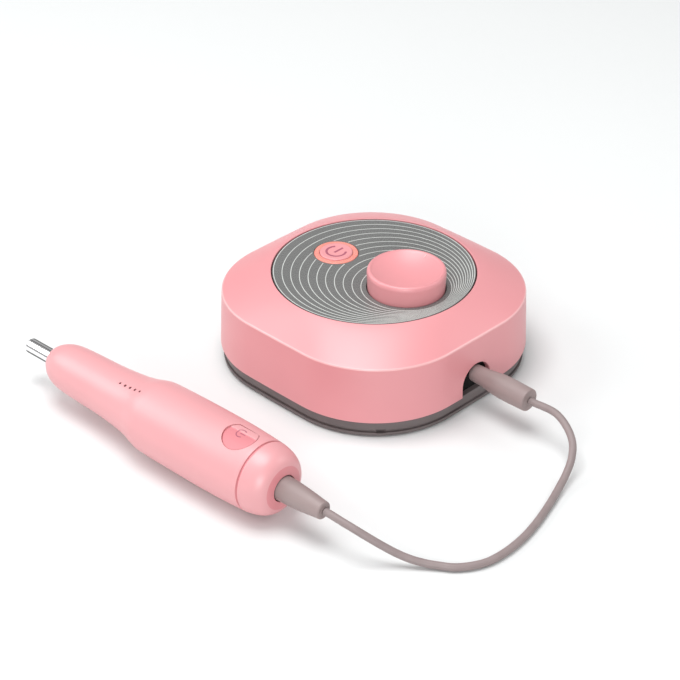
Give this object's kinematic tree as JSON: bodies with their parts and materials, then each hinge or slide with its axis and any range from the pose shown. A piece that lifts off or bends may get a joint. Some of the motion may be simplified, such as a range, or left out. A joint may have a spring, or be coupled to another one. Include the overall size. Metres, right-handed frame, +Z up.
{
  "type": "electric nail drill",
  "caption": "Electric nail drill: a rounded-square pink control base with a speed knob and power button, corded to a pen-shaped handpiece lying beside it.",
  "frame": {"origin": "on the table, at the middle of the box round the control base and the handpiece", "axes": "+X from the chuck's tip towards the cord end of the handpiece, which is also the way the plug pulls out; +Y from the handpiece towards the base; +Z up"},
  "size_m": [0.1885, 0.1585, 0.0421],
  "materials": {
    "pink_shell": "satin pink moulding",
    "grey_plate": "grey plate with thin pale rings",
    "coral_light": "translucent coral, lit from below",
    "dark_tray": "dark grey moulding",
    "mauve_rubber": "soft mauve-grey moulding",
    "dark_rubber": "matt black rubber",
    "chrome": "polished",
    "steel": "plated steel",
    "brass": "turned brass",
    "rotor": "steel laminations wound with copper",
    "magnet": "dark sintered magnet",
    "circuit_board": "green board",
    "black_plastic": "black moulding",
    "battery": "blue shrink wrap",
    "lead": "insulated wire",
    "light_guide": "smoked clear moulding"
  },
  "bodies": {
    "base": {"base_tray": "dark_tray", "top_cover": "pink_shell", "dial_plate": "grey_plate", "button_light_ring": "coral_light", "foot_rear_right": "dark_rubber", "foot_rear_left": "dark_rubber", "foot_front_left": "dark_rubber", "foot_front_right": "dark_rubber", "case_screw_rear_right": "steel", "case_screw_rear_left": "steel", "case_screw_front_left": "steel", "case_screw_front_right": "steel", "control_board": "circuit_board", "board_screw_front_left": "steel", "board_screw_front_right": "steel", "board_screw_rear_left": "steel", "board_screw_rear_right": "steel", "potentiometer_body": "steel", "potentiometer_nut": "brass", "power_switch": "black_plastic", "battery_cell_front": "battery", "battery_cell_rear": "battery", "battery_holder": "black_plastic", "battery_lead_red": "lead", "battery_lead_black": "lead", "handpiece_socket": "black_plastic", "socket_lead": "lead", "charge_socket": "steel", "charge_lead": "lead"},
    "knob": {"speed_knob": "pink_shell", "potentiometer_shaft": "steel"},
    "power_button": {"power_button": "pink_shell"},
    "plug_lead": {"plug_grip": "mauve_rubber", "plug_pin": "chrome", "handpiece_cord": "mauve_rubber"},
    "handpiece": {"handpiece_housing": "pink_shell", "tail_cap": "pink_shell", "cord_strain_relief": "mauve_rubber", "cord_core": "lead", "indicator_light_guide": "light_guide", "motor_can": "steel", "motor_magnet_upper": "magnet", "motor_magnet_lower": "magnet", "motor_end_bell": "black_plastic", "motor_lead": "lead", "bearing_tube": "steel", "front_bearing_outer_race": "steel", "rear_bearing_outer_race": "steel", "handpiece_switch_board": "circuit_board", "handpiece_switch": "black_plastic"},
    "handpiece_button": {"handpiece_button": "pink_shell"},
    "spindle": {"chuck_sleeve": "chrome", "collet": "steel", "spindle_shaft": "steel", "front_bearing_inner_race": "steel", "rear_bearing_inner_race": "steel", "shaft_coupling": "brass", "motor_rotor": "rotor"}
  },
  "joints": [
    {"name": "knob_turn", "type": "hinge", "parent": "base", "child": "knob", "pos_m": [0.01987, 0.02878, 0.0343], "axis": [0, 0, 1], "range_deg": [-140, 140]},
    {"name": "power_button_press", "type": "slide", "parent": "base", "child": "power_button", "axis": [0, 0, -1], "range_m": [0, 0.0006], "stiffness_N_per_m": 1000, "springref_m": -0.0003},
    {"name": "plug_pull", "type": "slide", "parent": "base", "child": "plug_lead", "axis": [1, 0, 0], "range_m": [0, 0.02]},
    {"name": "handpiece_lift", "type": "slide", "parent": "plug_lead", "child": "handpiece", "axis": [0, 0, 1], "range_m": [0, 0.04]},
    {"name": "spindle_spin", "type": "hinge", "parent": "handpiece", "child": "spindle", "pos_m": [-0.0713, -0.06838, 0.0135], "axis": [0.9995, 0.0325, 0], "continuous": true},
    {"name": "handpiece_button_press", "type": "slide", "parent": "handpiece", "child": "handpiece_button", "axis": [-0.0032, 0.0975, -0.9952], "range_m": [0, 0.0006], "stiffness_N_per_m": 1000, "springref_m": -0.0003}
  ]
}
